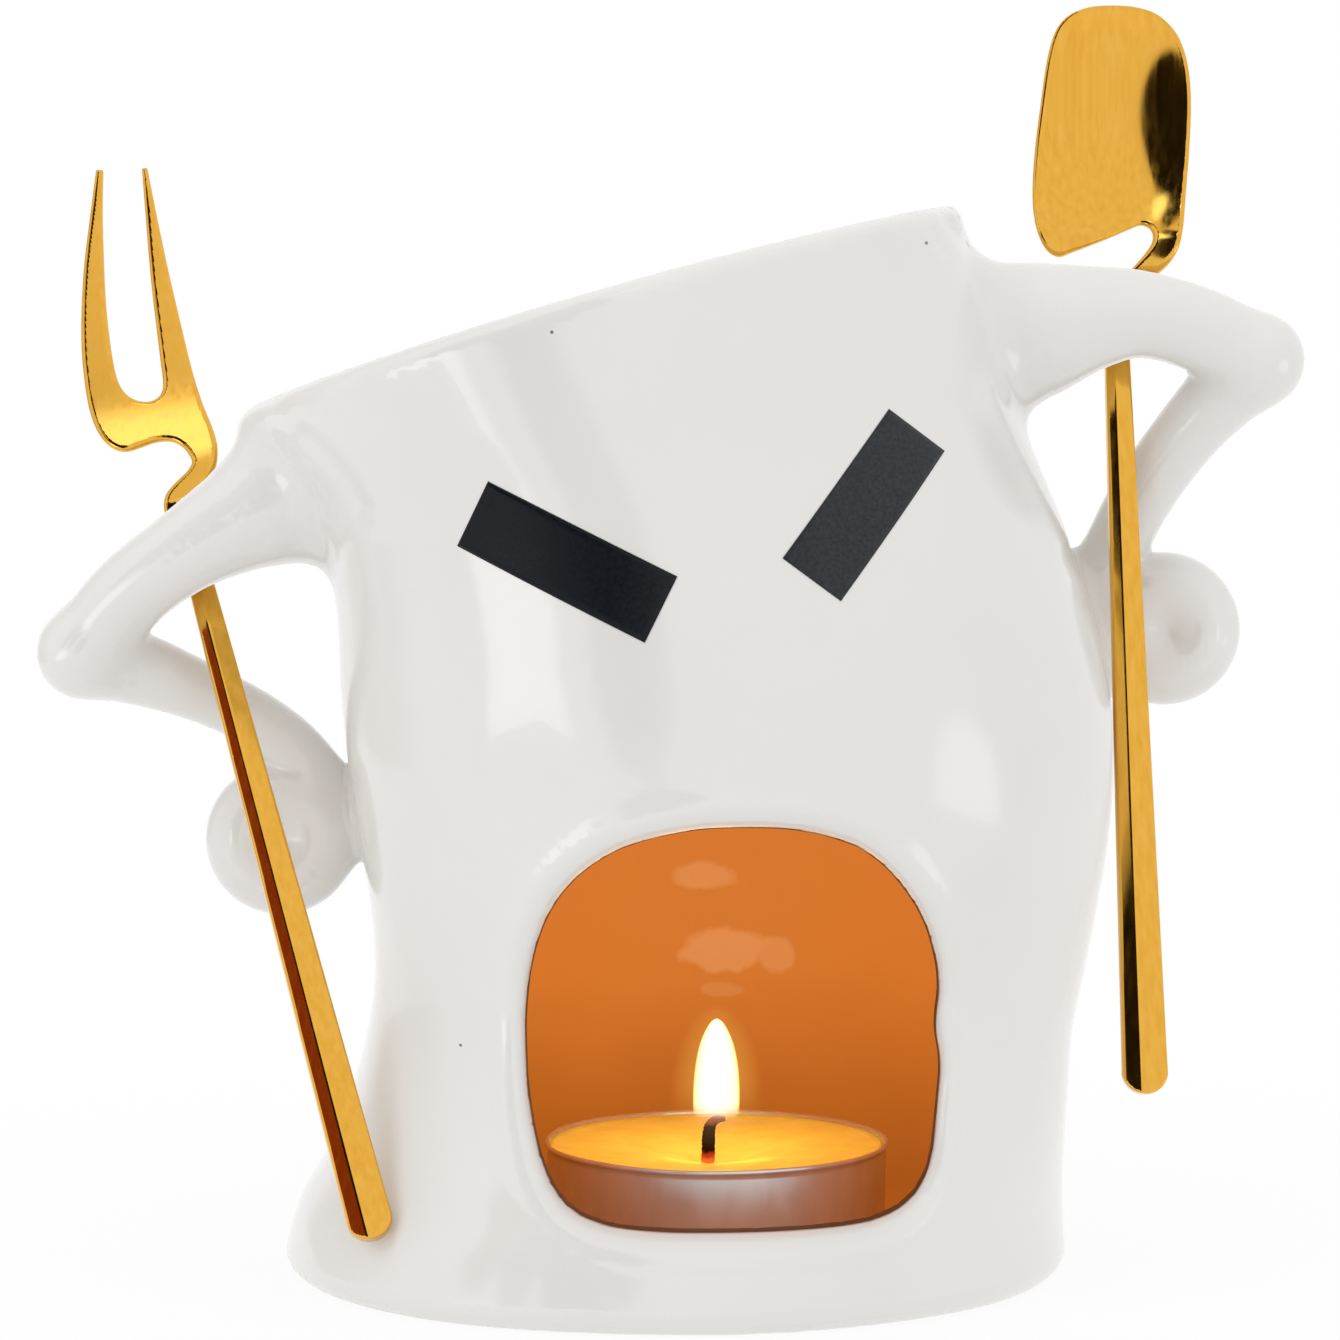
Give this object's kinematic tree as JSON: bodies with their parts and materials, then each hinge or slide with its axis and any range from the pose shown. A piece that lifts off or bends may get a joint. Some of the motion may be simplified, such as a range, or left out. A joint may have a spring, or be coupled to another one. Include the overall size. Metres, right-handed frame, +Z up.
{
  "type": "fondue mug",
  "caption": "White glazed mug shaped as a stout figure with its hands on its hips: a bowl over a candle chamber, with a tealight, fork and spoon.",
  "frame": {"origin": "centre of the foot ring, on the surface the mug stands on", "axes": "+Z up; -Y is the front, with the chamber's mouth; +X to the right as seen from the front, on the side of the spoon"},
  "size_m": [0.14, 0.082, 0.1408],
  "materials": {
    "white_glaze": "glossy warm white glaze",
    "black_decal": "fired black decal under a thin gloss",
    "cup_foil": "thin drawn sheet, satin",
    "wax": "half-melted, translucent",
    "tinned_steel": "tinned",
    "wick_cotton": "charred braided cotton",
    "gold_plate": "polished gold plating on steel"
  },
  "bodies": {
    "root": {"mug": "white_glaze", "left_brow": "black_decal", "right_brow": "black_decal", "tealight_cup": "cup_foil", "tealight_wax": "wax", "wick_sustainer": "tinned_steel", "wick": "wick_cotton", "fork": "gold_plate", "spoon": "gold_plate"}
  },
  "joints": []
}
